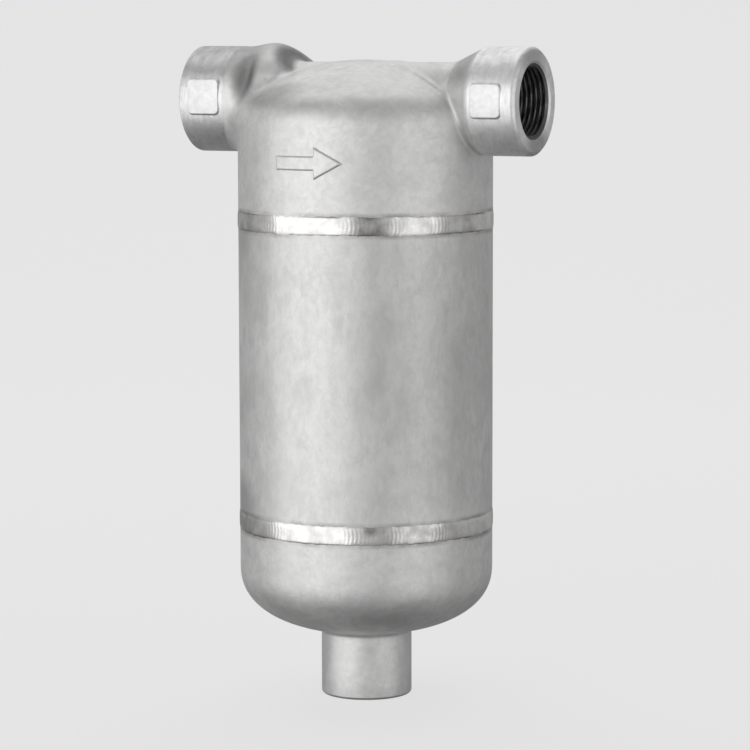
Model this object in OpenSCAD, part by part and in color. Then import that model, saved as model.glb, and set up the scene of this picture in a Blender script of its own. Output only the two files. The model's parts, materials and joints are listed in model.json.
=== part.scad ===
// In-line cyclone separator with a float steam trap in its base.
// Millimetres, +Z up. The origin is the centre of the drain socket's end face.
// Steam enters at -X, leaves dry at +X, and the water leaves downwards.

/* [Vessel] */
// Outside diameter of head, shell and cap
body_d = 114.3; // [112:0.1:116]
// Wall of the rolled shell tube
shell_wall = 4; // [3.5:0.1:4.5]
// Wall of the head and cap castings
cast_wall = 5.5; // [5:0.1:6]
// Height where the head's straight side ends and its dome starts
dome_z = 257.5; // [256:0.5:259]
// Rise of the head's dome
dome_rise = 29.5; // [28:0.5:30]
// Height of the girth weld between head and shell
upper_weld_z = 216; // [214:0.5:217]
// Height of the girth weld between shell and cap
lower_weld_z = 80.8; // [79:0.1:82]
// Height where the cap's straight side ends and its round bottom starts
cap_z = 59.4; // [59:0.1:60]
// Depth of the cap's round bottom
cap_rise = 30.3; // [30:0.1:32]
// Squareness of the cap's round bottom: 2 is an ellipse, more has a tighter knuckle
cap_square = 2.35; // [2.2:0.05:2.5]
// Width of a girth weld's crown
weld_w = 9; // [8:0.5:10]
// Height of a girth weld's crown over the wall
weld_proud = 0.5; // [0.3:0.1:0.8]

/* [Sockets] */
// Height of the inlet and outlet axis
pipe_z = 269; // [268:0.5:270]
// Distance between the inlet and outlet end faces
face_to_face = 165; // [164:0.5:170]
// Outside diameter of the inlet and outlet sockets
socket_d = 47.8; // [47:0.1:49]
// Bore of the 1 inch pipe thread
socket_bore_d = 30.3; // [30:0.1:30.6]
// Length of the straight threaded wall in a pipe socket
socket_thread = 17.5; // [16:0.5:18]
// Outside diameter of the outlet duct in the dome
duct_d = 34; // [33:0.5:34.5]
// Bore of the passages through the head
passage_d = 26; // [25:0.5:26]
// Outside diameter of the drain socket
drain_d = 40.9; // [40:0.1:42]
// Bore of the 3/4 inch drain thread
drain_bore_d = 24.12; // [24:0.02:24.3]
// Length of the straight threaded wall in the drain socket
drain_thread = 15.5; // [14:0.5:16]
// Chamfer on socket faces and mouths
face_chamfer = 1.5; // [1:0.1:1.8]
// Side of the square wrench pads on the sockets
pad_w = 15.5; // [14:0.5:16]
// Height of the pads over the round socket
pad_proud = 0.3; // [0.2:0.1:0.6]
// Height of the cast flow arrow over the wall
arrow_proud = 0.9; // [0.6:0.1:1.2]

/* [Separator] */
// Outside diameter of the central outlet tube
tube_d = 34; // [33.5:0.1:34]
// Height of the outlet tube's open lower end
tube_low_z = 186; // [182:1:190]
// Number of swirl vanes
vane_count = 8; // [6:1:9]
// Tilt of the vanes from upright, in degrees
vane_tilt = 50; // [45:1:55]
// Outside diameter of the baffle under the tube
baffle_d = 92; // [88:1:94]
// Height of the baffle's rim
baffle_z = 156; // [155:0.5:158]
// Rise of the baffle's cone
baffle_rise = 14.5; // [12:0.5:16]
// Height of the screen plate's lower face
screen_z = 142; // [141:0.5:143]
// Diameter of the screen's holes
screen_hole_d = 4; // [3:0.5:5]
// Spacing of the screen's holes
screen_pitch = 8; // [8:0.5:10]

/* [Float valve] */
// Outside diameter of the ball float
float_d = 56; // [52:0.5:57]
// Sheet thickness of the ball float
float_wall = 0.8; // [0.6:0.1:1]
// Distance of the float's centre from the vessel's axis
float_x = 22; // [21:0.5:23]
// Height of the float's centre with the valve shut
float_z = 92; // [91:0.5:94]
// Distance of the lever's pivot from the vessel's axis
pivot_x = 18; // [17.5:0.5:18.5]
// Height of the pivot and of the valve pin with the valve shut
pivot_z = 56; // [56:0.5:56.5]
// Diameter of the pivot pin
pivot_pin_d = 4; // [3.5:0.1:4]
// Diameter of the pin that lifts the valve plug
valve_pin_d = 3; // [2.8:0.1:3]
// Diameter of the valve plug's guided body
plug_d = 10; // [9.8:0.1:10]
// Diameter of the seat's orifice
orifice_d = 5; // [4:0.5:5]
// Running clearance, on the radius, of pins and of the plug
running = 0.05; // [0.03:0.01:0.08]

/* [Hidden] */
$fn = 96;

cast_colour = [0.66, 0.66, 0.65];
tube_colour = [0.72, 0.72, 0.71];
weld_colour = [0.80, 0.79, 0.77];
steel_colour = [0.60, 0.62, 0.64];
valve_colour = [0.50, 0.52, 0.56];
float_colour = [0.78, 0.79, 0.80];
gasket_colour = [0.25, 0.25, 0.24];

eps = 0.01;
dome_steps = 14;

// Vessel
body_r = body_d / 2;
shell_r = body_r - shell_wall;
cast_r = body_r - cast_wall;
crown_thick = 5;
root_gap = 0.8;
root_land = 0.5;
bevel_half = 3.2;
bevel_taper = 6;

// Sockets and the passages of the head
socket_r = socket_d / 2;
end_x = face_to_face / 2;
bore_r = socket_bore_d / 2;
bore_end_x = end_x - face_chamfer - socket_thread;
duct_r = duct_d / 2;
duct_x = 45.5;
barrel_x = 60;
inlet_top_x = 38;
inlet_nose_x = 34;
inlet_nose_drop = 4;
passage_r = passage_d / 2;
chest_r = 19;
chest_taper = 8;
chest_top_x = 40;
chest_low_x = 24;
chest_low_r = 10;
pad_x = 70;
pad_round = 2;

// Central boss that holds the outlet tube
boss_r = 21;
boss_low_z = 226;
tube_r = tube_d / 2;
tube_seat_depth = 12;
boss_core_x = 8;
core_gain = 0.5;

// Flow arrow, drawn looking at the front of the head
arrow_z = 243;
arrow_l = 32;
arrow_h = 14;
arrow_head_l = 13;
arrow_shaft_h = 6;

// Drain socket, seat hole and inside floor of the cap
drain_r = drain_d / 2;
drain_bore_r = drain_bore_d / 2;
floor_z = 37;
floor_rise = 28;
seat_r = 8;
seat_hole_z = 24;
seat_gap = 0.05;
drain_passage_r = 6;

// Swirl vanes and their lock nut
hub_r = 21;
hub_h = 20;
vane_r = 51.2;
vane_thick = 2;
vane_chord = 22;
nut_h = 8;
nut_r = 25;

// Baffle, its brackets and rivets
baffle_thick = 1.5;
baffle_flange = 6;
bracket_count = 3;
bracket_w = 10;
bracket_thick = 2;
bracket_in_r = 38;
bracket_leg_z = 146;
wall_gap = 0.1;
rivet_r = 1.5;
rivet_head_r = 2.8;
rivet_head_h = 1.2;
rivet_circle_r = baffle_d / 2 - baffle_flange / 2;

// Screen, its support ring and snap ring
screen_thick = 1.2;
screen_r = 52.6;
screen_field_r = 45;
ring_h = 3;
ring_in_r = 49;
snap_h = 1.5;
snap_in_r = 49.5;
snap_groove = 0.9;
snap_gap = 14;

// Valve seat and its guide collar
gasket_h = 0.6;
gasket_r = 9.8;
seat_hex_r = 11.5;
seat_hex_h = 4.4;
seat_top_z = floor_z + gasket_h + seat_hex_h;
seat_tail = 13;
seat_chamfer = 0.7;
orifice_r = orifice_d / 2;
collar_r = 8.5;
collar_h = 10.5;
port_w = 4.5;
port_h = 4.6;
port_rim = 0.4;

// Valve plug and its clevis
plug_r = plug_d / 2;
plug_tip_r = 1.4;
plug_top = 4;
clevis_gap = 0.3;
clevis_depth = 4.8;
valve_pin_r = valve_pin_d / 2;
valve_pin_l = 10.6;

// Lever
lever_t = 4;
lever_h = 5;
pivot_eye_r = 4.5;
valve_eye_r = 4.2;
slot_play = 0.3;
slot_shift = 0.35;
float_pad_r = 6;

// Pivot bracket, its screws and the pivot pin
pivot_r = pivot_pin_d / 2;
base_h = 3;
base_x0 = -27;
base_x1 = -11.5;
base_w = 27;
ear_gap = 0.4;
ear_t = 2.5;
ear_r = 5;
ear_in = lever_t / 2 + ear_gap;
ear_out = ear_in + ear_t;
screw_x = (base_x0 + base_x1) / 2;
screw_y = 9.5;
screw_r = 2;
screw_head_r = 3.4;
screw_head_h = 2.8;
screw_depth = 4.2;
screw_hole_depth = 4.5;
socket_key_r = 1.7;
washer_h = 0.6;
pin_head_r = 3.2;
pin_head_h = 1.2;
clip_r = 3.4;
clip_h = 0.6;
clip_groove_r = 1.5;
clip_gap = 2.4;
pin_tail = 1.7;

// Float and what holds it to the lever
float_r = float_d / 2;
seam_h = 2.4;
seam_proud = 0.6;
float_boss_r = 5.5;
float_boss_top = 66;
float_screw_r = 1.95;
float_screw_l = 9.3;
float_screw_head_r = 3.8;
float_screw_head_h = 3.5;
float_hole_l = 4.6;
lever_top_z = pivot_z + lever_h / 2;
lever_low_z = pivot_z - lever_h / 2;

// Points of a quarter ellipse from its equator upwards, up to the angle last
function ellipse(r, rise, z, last = 90, steps = dome_steps) =
    [for (i = [0:steps]) let (a = last * i / steps) [max(0, r * cos(a)), z + rise * sin(a)]];

// Points of the cap's round bottom from its top edge down to the radius low_r
function bowl(r, depth, z, power, low_r, steps = dome_steps) =
    let (last = acos(pow(low_r / r, power / 2)))
    [for (i = [0:steps]) let (a = last * i / steps)
        [r * pow(cos(a), 2 / power), z - depth * pow(sin(a), 2 / power)]];

// Closed outline turned round the Z axis
module turned(points) {
    rotate_extrude() polygon(points);
}

// Closed outline turned round the pipe axis, its first coordinate running along +X
module turned_x(points) {
    translate([0, 0, pipe_z]) rotate([0, 90, 0])
        rotate_extrude() polygon([for (p = points) [p[1], p[0]]]);
}

// Round bar along Y, centred on x and z
module bar_y(x, z, r, y0, y1, sides = 0) {
    translate([x, y0, z]) rotate([-90, 0, 0])
        cylinder(h = y1 - y0, r = r, $fn = sides == 0 ? 64 : sides);
}

// Bevelled weld edge at z: side 1 opens upwards, side -1 opens downwards
module weld_bevel(z, side) {
    edge = z + side * root_gap / 2;
    rise = bevel_half * (1 + 2 / (shell_wall - root_land));
    turned([[shell_r + root_land, edge], [body_r + 2, edge + side * rise],
        [body_r + 2, edge - side * 2], [shell_r + root_land, edge - side * 2]]);
}

module head_outside() {
    edge = upper_weld_z + root_gap / 2;
    turned(concat([[0, edge], [body_r, edge]], ellipse(body_r, dome_rise, dome_z)));
}

module head_cavity() {
    turned(concat([[0, upper_weld_z - 1], [shell_r, upper_weld_z - 1],
        [shell_r, upper_weld_z + 2], [cast_r, upper_weld_z + 2 + bevel_taper]],
        ellipse(cast_r, dome_rise - crown_thick, dome_z)));
}

module socket_outside(x0) {
    turned_x([[x0, 0], [x0, socket_r], [end_x - face_chamfer, socket_r],
        [end_x, socket_r - face_chamfer], [end_x, 0]]);
}

// Threaded wall and mouth chamfer of a pipe socket that opens towards +X
module socket_bore() {
    turned_x([[bore_end_x - eps, 0], [bore_end_x - eps, bore_r], [end_x - face_chamfer, bore_r],
        [end_x + eps, bore_r + face_chamfer + eps], [end_x + eps, 0]]);
}

// Raised square pads on the front and back of a socket, centred at x
module wrench_pads(x) {
    depth = 2 * (socket_r + pad_proud);
    side = pad_w - 2 * pad_round;
    translate([x, depth / 2, pipe_z]) rotate([90, 0, 0]) linear_extrude(depth) {
        square([pad_w, side], center = true);
        square([side, pad_w], center = true);
        for (sx = [-1, 1], sz = [-1, 1])
            translate([sx * side / 2, sz * side / 2]) circle(r = pad_round, $fn = 32);
    }
}

// Arrow along +X raised on the front and back of the head
module flow_arrow() {
    tail = -arrow_l / 2;
    neck = arrow_l / 2 - arrow_head_l;
    intersection() {
        translate([0, body_r + 5, arrow_z]) rotate([90, 0, 0]) linear_extrude(body_d + 10)
            polygon([[tail, -arrow_shaft_h / 2], [neck, -arrow_shaft_h / 2], [neck, -arrow_h / 2],
                [arrow_l / 2, 0], [neck, arrow_h / 2], [neck, arrow_shaft_h / 2],
                [tail, arrow_shaft_h / 2]]);
        translate([0, 0, arrow_z - arrow_h]) difference() {
            cylinder(h = 2 * arrow_h, r = body_r + arrow_proud);
            translate([0, 0, -1]) cylinder(h = 2 * arrow_h + 2, r = body_r - 1);
        }
    }
}

module head_casting() {
    color(cast_colour) difference() {
        union() {
            difference() {
                union() {
                    head_outside();
                    // inlet socket with the blunt end of its chest, and the rib in line with
                    // the outlet duct
                    mirror([1, 0, 0]) {
                        socket_outside(inlet_top_x);
                        turned_x([[inlet_nose_x, 0], [inlet_nose_x, socket_r - inlet_nose_drop],
                            [inlet_top_x, socket_r], [inlet_top_x + 1, socket_r],
                            [inlet_top_x + 1, 0]]);
                        turned_x([[0, 0], [0, duct_r], [inlet_nose_x + 1, duct_r],
                            [inlet_nose_x + 1, 0]]);
                    }
                }
                head_cavity();
                // wide inlet chest behind the thread
                mirror([1, 0, 0]) turned_x([[chest_low_x, 0], [chest_low_x, chest_low_r],
                    [chest_top_x, chest_r], [bore_end_x - chest_taper, chest_r],
                    [bore_end_x, passage_r], [bore_end_x + 1, passage_r], [bore_end_x + 1, 0]]);
            }
            // outlet socket, its cone and the duct that crosses the dome
            socket_outside(barrel_x);
            turned_x([[duct_x, 0], [duct_x, duct_r], [barrel_x, socket_r],
                [barrel_x + 1, socket_r], [barrel_x + 1, 0]]);
            turned_x([[0, 0], [0, duct_r], [duct_x + 1, duct_r], [duct_x + 1, 0]]);
            // central boss for the outlet tube
            translate([0, 0, boss_low_z])
                cylinder(h = dome_z + dome_rise - 2 * crown_thick - boss_low_z + 3, r = boss_r);
            for (side = [-1, 1]) wrench_pads(side * pad_x);
            flow_arrow();
        }
        socket_bore();
        mirror([1, 0, 0]) socket_bore();
        // outlet passage: along the duct, then down the boss to the tube
        turned_x([[-boss_core_x, 0], [-boss_core_x, passage_r + core_gain],
            [bore_end_x, passage_r + core_gain], [bore_end_x, 0]]);
        translate([0, 0, boss_low_z - 1]) cylinder(h = pipe_z - boss_low_z + 1, r = passage_r);
        translate([0, 0, boss_low_z - 1])
            cylinder(h = tube_seat_depth + 1, r = tube_r + running);
        weld_bevel(upper_weld_z, 1);
    }
}

module shell_tube() {
    low = lower_weld_z + root_gap / 2;
    high = upper_weld_z - root_gap / 2;
    groove_z = screen_z + screen_thick;
    color(tube_colour) difference() {
        translate([0, 0, low]) cylinder(h = high - low, r = body_r);
        translate([0, 0, low - 1]) cylinder(h = high - low + 2, r = shell_r);
        // groove of the screen's snap ring
        translate([0, 0, groove_z]) cylinder(h = snap_h + 0.2, r = shell_r + snap_groove);
        weld_bevel(lower_weld_z, 1);
        weld_bevel(upper_weld_z, -1);
    }
}

module bottom_cap() {
    top = lower_weld_z - root_gap / 2;
    floor_angle = asin((cap_z - floor_z) / floor_rise);
    outside = bowl(body_r, cap_rise, cap_z, cap_square, drain_r);
    inside = ellipse(cast_r, -floor_rise, cap_z, floor_angle);
    color(cast_colour) difference() {
        turned(concat([[0, top], [body_r, top]], outside, [[drain_r, face_chamfer],
            [drain_r - face_chamfer, 0], [0, 0]]));
        turned(concat([[0, top + 1], [shell_r, top + 1], [shell_r, top - 2],
            [cast_r, top - 2 - bevel_taper]], inside, [[0, floor_z]]));
        // drain thread with its mouth chamfer
        turned([[0, -eps], [drain_bore_r + face_chamfer + eps, -eps],
            [drain_bore_r, face_chamfer], [drain_bore_r, face_chamfer + drain_thread],
            [drain_passage_r, seat_hole_z - 2], [drain_passage_r, seat_hole_z + 1],
            [0, seat_hole_z + 1]]);
        translate([0, 0, seat_hole_z]) cylinder(h = floor_z - seat_hole_z + 1, r = seat_r);
        for (side = [-1, 1]) translate([screw_x, side * screw_y, floor_z - screw_hole_depth])
            cylinder(h = screw_hole_depth + 1, r = screw_r, $fn = 32);
        weld_bevel(lower_weld_z, -1);
    }
}

// Weld metal that fills the bevels at z, with a low round crown
module girth_weld(z) {
    crown = [for (t = [-1:0.25:1]) [body_r + weld_proud * (1 - t * t), z + t * weld_w / 2]];
    foot = root_gap / 2;
    turned(concat([[shell_r, z - foot], [shell_r + root_land, z - foot],
        [body_r, z - foot - bevel_half]], crown, [[body_r, z + foot + bevel_half],
        [shell_r + root_land, z + foot], [shell_r, z + foot]]));
}

module upper_weld() {
    color(weld_colour) girth_weld(upper_weld_z);
}

module lower_weld() {
    color(weld_colour) girth_weld(lower_weld_z);
}

// Vortex finder: dry steam leaves through it to the outlet
module outlet_tube() {
    top = boss_low_z + tube_seat_depth;
    color(steel_colour) difference() {
        translate([0, 0, tube_low_z]) cylinder(h = top - tube_low_z, r = tube_r);
        translate([0, 0, tube_low_z - 1]) cylinder(h = top - tube_low_z + 2, r = passage_r);
    }
}

module swirl_vanes() {
    low = boss_low_z - hub_h;
    color(steel_colour) {
        difference() {
            union() {
                translate([0, 0, low]) cylinder(h = hub_h, r = hub_r);
                intersection() {
                    for (i = [0:vane_count - 1]) rotate(i * 360 / vane_count)
                        translate([vane_r / 2 + 10, 0, low + hub_h / 2])
                        rotate([vane_tilt, 0, 0])
                        cube([vane_r, vane_thick, vane_chord], center = true);
                    translate([0, 0, low]) cylinder(h = hub_h, r = vane_r);
                }
            }
            translate([0, 0, low - 1]) cylinder(h = hub_h + 2, r = tube_r + running);
        }
    }
}

module vane_lock_nut() {
    low = boss_low_z - hub_h - nut_h;
    color(steel_colour) difference() {
        translate([0, 0, low]) cylinder(h = nut_h, r = nut_r, $fn = 6);
        translate([0, 0, low - 1]) cylinder(h = nut_h + 2, r = tube_r + running);
    }
}

// Copies its children round the vessel, one at each baffle bracket
module at_brackets() {
    for (i = [0:bracket_count - 1]) rotate(30 + i * 360 / bracket_count) children();
}

module baffle_cone() {
    rim = baffle_d / 2;
    knee = rim - baffle_flange;
    color(steel_colour) difference() {
        turned([[0, baffle_z + baffle_rise], [knee, baffle_z], [rim, baffle_z],
            [rim, baffle_z + baffle_thick], [knee, baffle_z + baffle_thick],
            [0, baffle_z + baffle_rise + baffle_thick]]);
        at_brackets() translate([rivet_circle_r, 0, baffle_z - 1])
            cylinder(h = baffle_thick + 2, r = rivet_r + running, $fn = 32);
    }
}

module baffle_brackets() {
    out_r = shell_r - wall_gap;
    color(steel_colour) at_brackets() difference() {
        intersection() {
            union() {
                translate([bracket_in_r, -bracket_w / 2, baffle_z - bracket_thick])
                    cube([out_r - bracket_in_r + 1, bracket_w, bracket_thick]);
                translate([out_r - bracket_thick, -bracket_w / 2, bracket_leg_z])
                    cube([bracket_thick + 1, bracket_w, baffle_z - bracket_leg_z]);
            }
            translate([0, 0, bracket_leg_z]) cylinder(h = baffle_z - bracket_leg_z, r = out_r);
        }
        translate([rivet_circle_r, 0, baffle_z - bracket_thick - 1])
            cylinder(h = bracket_thick + 2, r = rivet_r + running, $fn = 32);
    }
}

module baffle_rivets() {
    low = baffle_z - bracket_thick;
    high = baffle_z + baffle_thick;
    crown = rivet_head_h * 0.6;
    color(steel_colour) at_brackets() translate([rivet_circle_r, 0, 0])
        turned([[0, low - rivet_head_h], [rivet_head_r * 0.6, low - rivet_head_h],
            [rivet_head_r, low - rivet_head_h + crown], [rivet_head_r, low], [rivet_r, low],
            [rivet_r, high], [rivet_head_r, high], [rivet_head_r, high + rivet_head_h - crown],
            [rivet_head_r * 0.6, high + rivet_head_h], [0, high + rivet_head_h]]);
}

module screen_plate() {
    rows = floor(screen_field_r / (screen_pitch * sin(60)));
    color(steel_colour) difference() {
        translate([0, 0, screen_z]) cylinder(h = screen_thick, r = screen_r);
        for (row = [-rows:rows], col = [-rows:rows]) {
            x = screen_pitch * (col + (abs(row) % 2) / 2);
            y = screen_pitch * sin(60) * row;
            if (norm([x, y]) < screen_field_r) translate([x, y, screen_z - 1])
                cylinder(h = screen_thick + 2, r = screen_hole_d / 2, $fn = 24);
        }
    }
}

module screen_support_ring() {
    color(steel_colour) difference() {
        translate([0, 0, screen_z - ring_h]) cylinder(h = ring_h, r = shell_r - wall_gap);
        translate([0, 0, screen_z - ring_h - 1]) cylinder(h = ring_h + 2, r = ring_in_r);
    }
}

module screen_snap_ring() {
    low = screen_z + screen_thick;
    color(steel_colour) difference() {
        translate([0, 0, low]) cylinder(h = snap_h, r = shell_r + snap_groove - wall_gap);
        translate([0, 0, low - 1]) cylinder(h = snap_h + 2, r = snap_in_r);
        translate([0, -snap_gap / 2, low - 1]) cube([body_r, snap_gap, snap_h + 2]);
    }
}

// Screwed seat with a slotted collar that guides the plug
module valve_seat() {
    tail_z = floor_z - seat_tail + 1;
    hex_low = floor_z + gasket_h;
    tail_r = seat_r - seat_gap;
    guide_r = plug_r + running;
    color(valve_colour) difference() {
        union() {
            turned([[0, tail_z], [tail_r, tail_z], [tail_r, hex_low + 1],
                [collar_r, hex_low + 1], [collar_r, seat_top_z + collar_h],
                [0, seat_top_z + collar_h]]);
            translate([0, 0, hex_low]) rotate(30)
                cylinder(h = seat_hex_h, r = seat_hex_r, $fn = 6);
        }
        turned([[0, tail_z - 1], [orifice_r, tail_z - 1], [orifice_r, seat_top_z - seat_chamfer],
            [orifice_r + seat_chamfer, seat_top_z], [guide_r, seat_top_z],
            [guide_r, seat_top_z + collar_h + 1], [0, seat_top_z + collar_h + 1]]);
        for (a = [0, 90]) rotate(a) translate([-collar_r - 1, -port_w / 2, seat_top_z + port_rim])
            cube([2 * collar_r + 2, port_w, port_h]);
    }
}

module seat_gasket() {
    color(gasket_colour) difference() {
        translate([0, 0, floor_z]) cylinder(h = gasket_h, r = gasket_r);
        translate([0, 0, floor_z - 1]) cylinder(h = gasket_h + 2, r = seat_r + seat_gap);
    }
}

module pivot_bracket() {
    color(steel_colour) difference() {
        union() {
            translate([base_x0, -base_w / 2, floor_z]) cube([base_x1 - base_x0, base_w, base_h]);
            for (y = [-ear_out, ear_in]) {
                translate([-pivot_x - ear_r, y, floor_z + 1])
                    cube([2 * ear_r, ear_t, pivot_z - floor_z - 1]);
                bar_y(-pivot_x, pivot_z, ear_r, y, y + ear_t);
            }
        }
        bar_y(-pivot_x, pivot_z, pivot_r + 0.03, -ear_out - 1, ear_out + 1);
        for (side = [-1, 1]) translate([screw_x, side * screw_y, floor_z - 1])
            cylinder(h = base_h + 2, r = screw_r + 0.2, $fn = 32);
    }
}

module bracket_washers() {
    color(steel_colour) for (side = [-1, 1])
        translate([screw_x, side * screw_y, floor_z + base_h]) difference() {
            cylinder(h = washer_h, r = screw_head_r, $fn = 32);
            translate([0, 0, -1]) cylinder(h = washer_h + 2, r = screw_r + 0.2, $fn = 32);
        }
}

module bracket_screws() {
    head_z = floor_z + base_h + washer_h;
    color(steel_colour) for (side = [-1, 1]) translate([screw_x, side * screw_y, 0])
        difference() {
            union() {
                translate([0, 0, floor_z - screw_depth])
                    cylinder(h = head_z - floor_z + screw_depth + 1, r = screw_r, $fn = 32);
                translate([0, 0, head_z]) cylinder(h = screw_head_h, r = screw_head_r, $fn = 32);
            }
            translate([0, 0, head_z + screw_head_h / 2])
                cylinder(h = screw_head_h, r = socket_key_r, $fn = 6);
        }
}

module pivot_pin() {
    color(steel_colour) difference() {
        union() {
            bar_y(-pivot_x, pivot_z, pin_head_r, -ear_out - pin_head_h, -ear_out);
            bar_y(-pivot_x, pivot_z, pivot_r, -ear_out - 1, ear_out + pin_tail);
        }
        // groove for the clip
        difference() {
            bar_y(-pivot_x, pivot_z, pivot_r + 1, ear_out + 0.1, ear_out + 0.2 + clip_h);
            bar_y(-pivot_x, pivot_z, clip_groove_r, ear_out, ear_out + clip_h + 1);
        }
    }
}

module pivot_clip() {
    low = ear_out + 0.15;
    color(steel_colour) difference() {
        bar_y(-pivot_x, pivot_z, clip_r, low, low + clip_h);
        bar_y(-pivot_x, pivot_z, clip_groove_r, low - 1, low + clip_h + 1);
        translate([-pivot_x - clip_gap / 2, low - 1, pivot_z - clip_r - 1])
            cube([clip_gap, clip_h + 2, clip_r + 1]);
    }
}

module valve_plug() {
    // cone at 45 degrees that closes on the seat's chamfer
    shut_r = orifice_r + seat_chamfer - running;
    tip_z = seat_top_z - (shut_r - plug_tip_r);
    body_z = seat_top_z + (plug_r - shut_r);
    top = pivot_z + plug_top;
    slot_w = lever_t + 2 * clevis_gap;
    color(valve_colour) difference() {
        turned([[0, tip_z], [plug_tip_r, tip_z], [plug_r, body_z], [plug_r, top], [0, top]]);
        translate([-plug_r - 1, -slot_w / 2, pivot_z - clevis_depth])
            cube([plug_d + 2, slot_w, clevis_depth + plug_top + 1]);
        bar_y(0, pivot_z, valve_pin_r + 0.02, -plug_r - 1, plug_r + 1);
    }
}

module valve_pin() {
    color(valve_colour)
        bar_y(0, pivot_z, valve_pin_r, -valve_pin_l / 2, valve_pin_l / 2);
}

module float_lever() {
    half = lever_t / 2;
    color(steel_colour) difference() {
        union() {
            translate([-pivot_x, -half, lever_low_z]) cube([pivot_x + float_x, lever_t, lever_h]);
            bar_y(-pivot_x, pivot_z, pivot_eye_r, -half, half);
            bar_y(slot_shift, pivot_z, valve_eye_r, -half, half);
            translate([float_x, 0, lever_low_z]) cylinder(h = lever_h, r = float_pad_r);
        }
        bar_y(-pivot_x, pivot_z, pivot_r + running, -half - 1, half + 1);
        // slot that lets the plug's pin stay on its straight path
        for (x = [0, 2 * slot_shift])
            bar_y(x, pivot_z, valve_pin_r + slot_play, -half - 1, half + 1);
        translate([0, -half - 1, pivot_z - valve_pin_r - slot_play])
            cube([2 * slot_shift, lever_t + 2, 2 * (valve_pin_r + slot_play)]);
        translate([float_x, 0, lever_low_z - 1])
            cylinder(h = lever_h + 2, r = float_screw_r + 0.15, $fn = 32);
    }
}

module float_boss() {
    color(float_colour) difference() {
        translate([float_x, 0, lever_top_z])
            cylinder(h = float_boss_top - lever_top_z, r = float_boss_r);
        translate([float_x, 0, float_z]) sphere(r = float_r);
        translate([float_x, 0, lever_top_z - 1])
            cylinder(h = float_hole_l + 1, r = float_screw_r + running, $fn = 32);
    }
}

module float_screw() {
    color(steel_colour) translate([float_x, 0, lever_low_z]) {
        translate([0, 0, -float_screw_head_h])
            cylinder(h = float_screw_head_h, r = float_screw_head_r, $fn = 6);
        translate([0, 0, -1]) cylinder(h = float_screw_l + 1, r = float_screw_r, $fn = 32);
    }
}

// Half of the hollow ball: side 1 is the upper half, side -1 the lower
module float_half(side) {
    color(float_colour) translate([float_x, 0, float_z]) difference() {
        sphere(r = float_r);
        sphere(r = float_r - float_wall);
        translate([0, 0, -side * float_r]) cube(2 * float_r, center = true);
    }
}

module float_lower_half() {
    float_half(-1);
}

module float_upper_half() {
    float_half(1);
}

module float_seam() {
    color(float_colour) translate([float_x, 0, 0])
        turned([for (t = [-1:0.5:1])
            [float_r + seam_proud * (1 - t * t), float_z + t * seam_h / 2]]);
}

head_casting();
shell_tube();
bottom_cap();
upper_weld();
lower_weld();
outlet_tube();
swirl_vanes();
vane_lock_nut();
baffle_cone();
baffle_brackets();
baffle_rivets();
screen_plate();
screen_support_ring();
screen_snap_ring();
valve_seat();
seat_gasket();
pivot_bracket();
bracket_washers();
bracket_screws();
pivot_pin();
pivot_clip();
valve_plug();
valve_pin();
float_lever();
float_boss();
float_screw();
float_lower_half();
float_upper_half();
float_seam();
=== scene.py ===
import json
import math

import bpy
import numpy as np
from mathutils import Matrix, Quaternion, Vector


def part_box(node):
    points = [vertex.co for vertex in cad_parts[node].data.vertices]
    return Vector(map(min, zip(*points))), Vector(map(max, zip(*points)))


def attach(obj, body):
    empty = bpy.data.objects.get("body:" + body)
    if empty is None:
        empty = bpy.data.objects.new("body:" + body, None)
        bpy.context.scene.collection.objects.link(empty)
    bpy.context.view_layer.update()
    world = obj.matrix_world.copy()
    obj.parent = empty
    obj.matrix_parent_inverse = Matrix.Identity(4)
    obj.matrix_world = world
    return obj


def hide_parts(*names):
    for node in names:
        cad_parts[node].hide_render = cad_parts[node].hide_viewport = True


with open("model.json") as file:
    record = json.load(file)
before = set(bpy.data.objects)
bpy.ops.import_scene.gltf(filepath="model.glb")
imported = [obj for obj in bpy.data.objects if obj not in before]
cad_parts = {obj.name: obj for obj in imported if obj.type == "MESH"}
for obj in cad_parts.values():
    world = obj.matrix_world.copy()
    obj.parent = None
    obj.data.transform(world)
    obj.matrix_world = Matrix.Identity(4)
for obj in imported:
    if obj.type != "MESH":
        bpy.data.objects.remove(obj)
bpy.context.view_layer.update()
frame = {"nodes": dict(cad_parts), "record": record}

# ---------------------------------------------------------------- sizes, in millimetres
# Everything is worked out from the CAD frame; the shapes below are drawn in
# millimetres and turned into metres in one place, new_piece().
MM = 0.001


def box_mm(node):
    """Lowest and highest corner of a CAD node."""
    low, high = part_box(node)
    return np.array(low) / MM, np.array(high) / MM


def mount_mm(name):
    """A mount's position and its dimensions."""
    mount = next(m for m in frame["record"]["mounts"] if m["name"] == name)
    return np.array(mount["pos_m"]) / MM, mount["dims"]


_, shell_high = box_mm("shell_tube")
head_low, head_high = box_mm("head_casting")
_, cap_high = box_mm("bottom_cap")
upper_low, upper_high = box_mm("upper_weld")
lower_low, lower_high = box_mm("lower_weld")
_, tube_high = box_mm("outlet_tube")

BODY_R = shell_high[0]
SHELL_WALL = 4.0
CAST_WALL = 5.5
SHELL_IN_R = BODY_R - SHELL_WALL
CAST_IN_R = BODY_R - CAST_WALL
HEAD_LOW_Z = head_low[2]
UPPER_WELD_Z = (upper_low[2] + upper_high[2]) / 2
LOWER_WELD_Z = (lower_low[2] + lower_high[2]) / 2
TUBE_MID_Z = (UPPER_WELD_Z + LOWER_WELD_Z) / 2
WELD_W = upper_high[2] - upper_low[2]
# the castings are bevelled for the weld, and the bead's crown is flatter than the CAD ring
WELD_BEVEL = 3.0
BEAD_PROUD = 0.6 * (upper_high[0] - BODY_R)

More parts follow.
